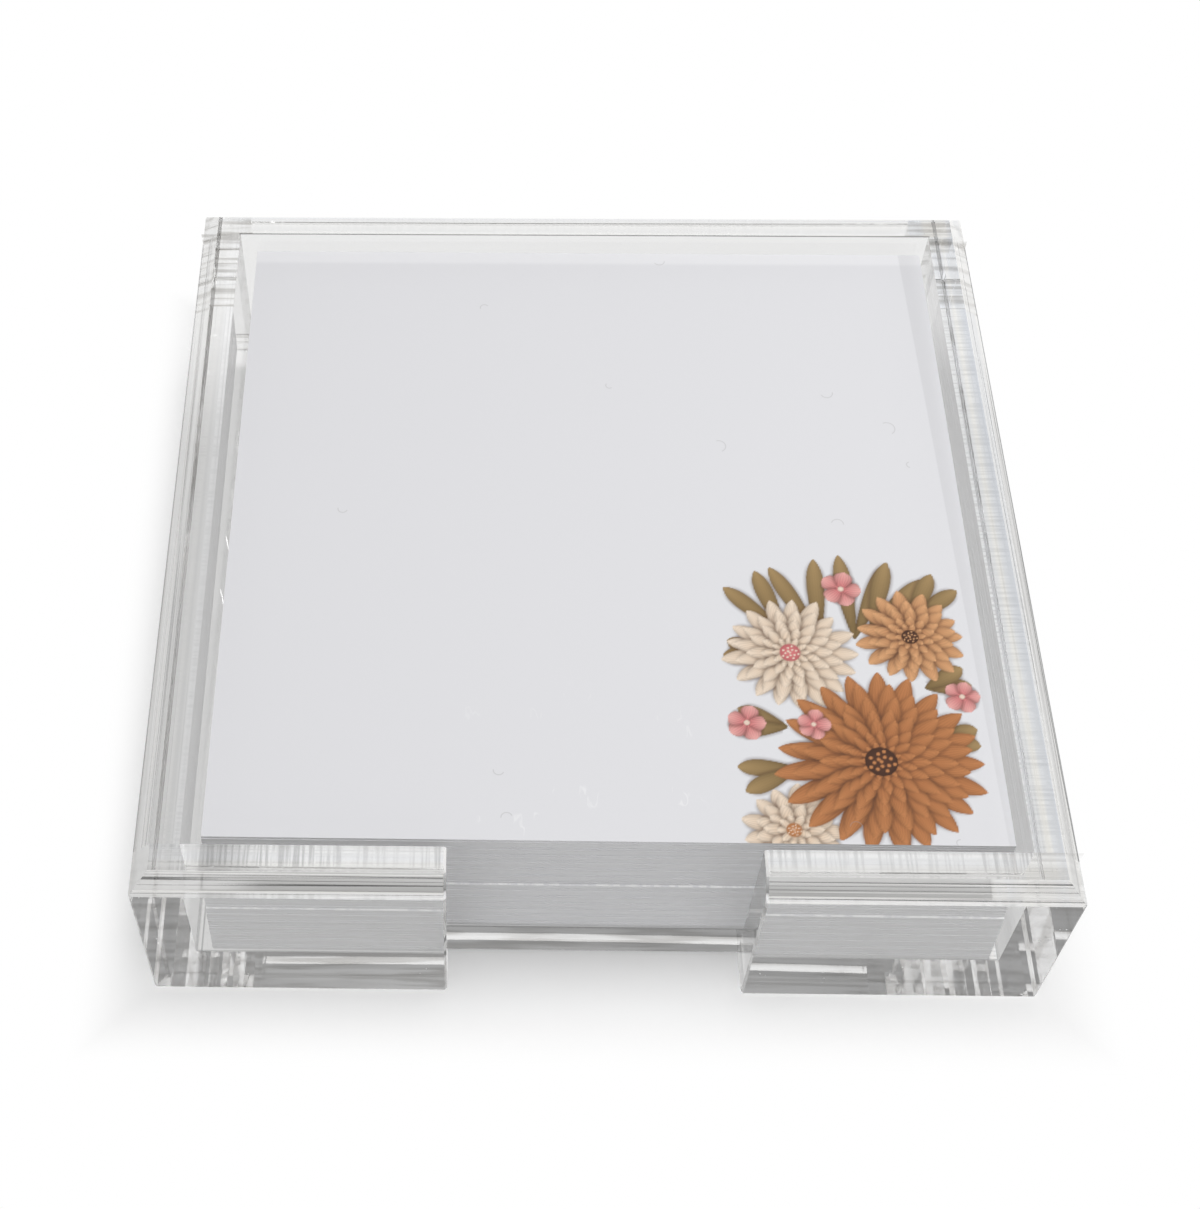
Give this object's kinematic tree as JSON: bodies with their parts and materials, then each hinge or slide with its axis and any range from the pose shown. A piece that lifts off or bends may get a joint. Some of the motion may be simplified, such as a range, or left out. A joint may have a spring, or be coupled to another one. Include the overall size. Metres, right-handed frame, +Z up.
{
  "type": "note card holder",
  "caption": "Open square desk tray of thick clear acrylic with a finger notch in the front, holding a stack of square white note cards.",
  "frame": {"origin": "centre of the tray's footprint, on the plane it stands on", "axes": "+Z up, -Y towards the finger notch, +X to the right when facing the notch"},
  "size_m": [0.1524, 0.1524, 0.0381],
  "materials": {
    "clear_acrylic": "polished clear acrylic sheet with cemented joints",
    "white_card": "smooth heavy card stock",
    "printed_card": "smooth heavy card stock with a small printed motif in one corner"
  },
  "bodies": {
    "tray": {"base_plate": "clear_acrylic", "back_wall": "clear_acrylic", "left_wall": "clear_acrylic", "right_wall": "clear_acrylic", "front_left": "clear_acrylic", "front_right": "clear_acrylic"},
    "lower_batch": {"card_01": "white_card", "card_02": "white_card", "card_03": "white_card", "card_04": "white_card", "card_05": "white_card", "card_06": "white_card", "card_07": "white_card", "card_08": "white_card", "card_09": "white_card", "card_10": "white_card", "card_11": "white_card", "card_12": "white_card", "card_13": "white_card", "card_14": "white_card", "card_15": "white_card", "card_16": "white_card", "card_17": "white_card", "card_18": "white_card", "card_19": "white_card", "card_20": "white_card", "card_21": "white_card", "card_22": "white_card", "card_23": "white_card", "card_24": "white_card"},
    "upper_batch": {"card_25": "white_card", "card_26": "white_card", "card_27": "white_card", "card_28": "white_card", "card_29": "white_card", "card_30": "white_card", "card_31": "white_card", "card_32": "white_card", "card_33": "white_card", "card_34": "white_card", "card_35": "white_card", "card_36": "white_card", "card_37": "white_card", "card_38": "white_card", "card_39": "white_card", "card_40": "white_card", "card_41": "white_card", "card_42": "white_card", "card_43": "white_card", "card_44": "white_card", "card_45": "white_card", "card_46": "white_card", "card_47": "white_card"},
    "top_sheet": {"top_card": "printed_card"}
  },
  "joints": [
    {"name": "lift_lower_batch", "type": "slide", "parent": "tray", "child": "lower_batch", "axis": [0, 0, 1], "range_m": [0, 0.045]},
    {"name": "lift_upper_batch", "type": "slide", "parent": "lower_batch", "child": "upper_batch", "axis": [0, 0, 1], "range_m": [0, 0.04]},
    {"name": "lift_top_card", "type": "slide", "parent": "upper_batch", "child": "top_sheet", "axis": [0, 0, 1], "range_m": [0, 0.03]}
  ]
}
